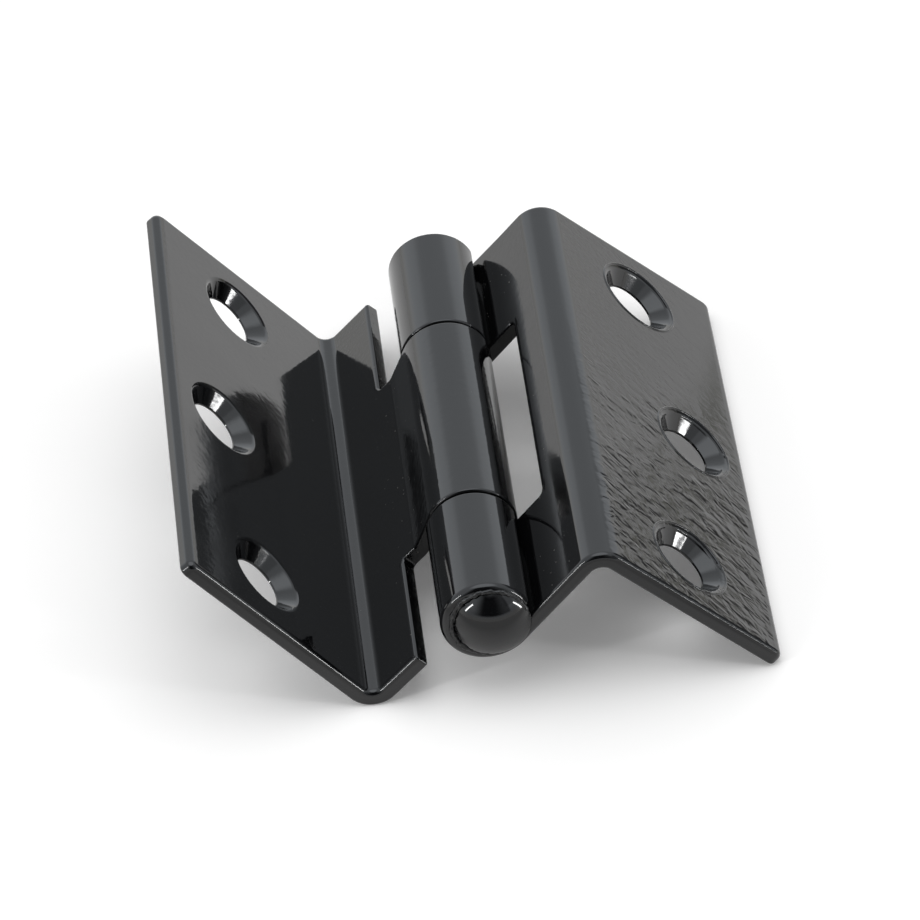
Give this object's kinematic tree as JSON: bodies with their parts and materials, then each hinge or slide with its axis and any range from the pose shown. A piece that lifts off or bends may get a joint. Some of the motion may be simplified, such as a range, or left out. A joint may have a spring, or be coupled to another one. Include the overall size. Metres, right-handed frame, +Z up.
{
  "type": "stormproof hinge",
  "caption": "Cranked steel casement hinge: bent leaves with rolled knuckles turn on a riveted pin, with countersunk screw holes and gloss black paint.",
  "frame": {"origin": "on the table, under the middle of the bounding box; the pin axis is 9.80 mm above it", "axes": "+Z up, Y along the pin, +X towards the leaf with the two end knuckles"},
  "size_m": [0.0636, 0.0688, 0.0217],
  "materials": {
    "black_paint": "gloss black paint over steel, with a faint orange peel"
  },
  "bodies": {
    "outer_leaf": {"outer_knuckle_leaf": "black_paint", "hinge_pin": "black_paint"},
    "centre_leaf": {"centre_knuckle_leaf": "black_paint"}
  },
  "joints": [
    {"name": "leaf_hinge", "type": "hinge", "parent": "outer_leaf", "child": "centre_leaf", "pos_m": [0.00014, 0, 0.0098], "axis": [0, 1, 0], "range_deg": [-152, 173]}
  ]
}
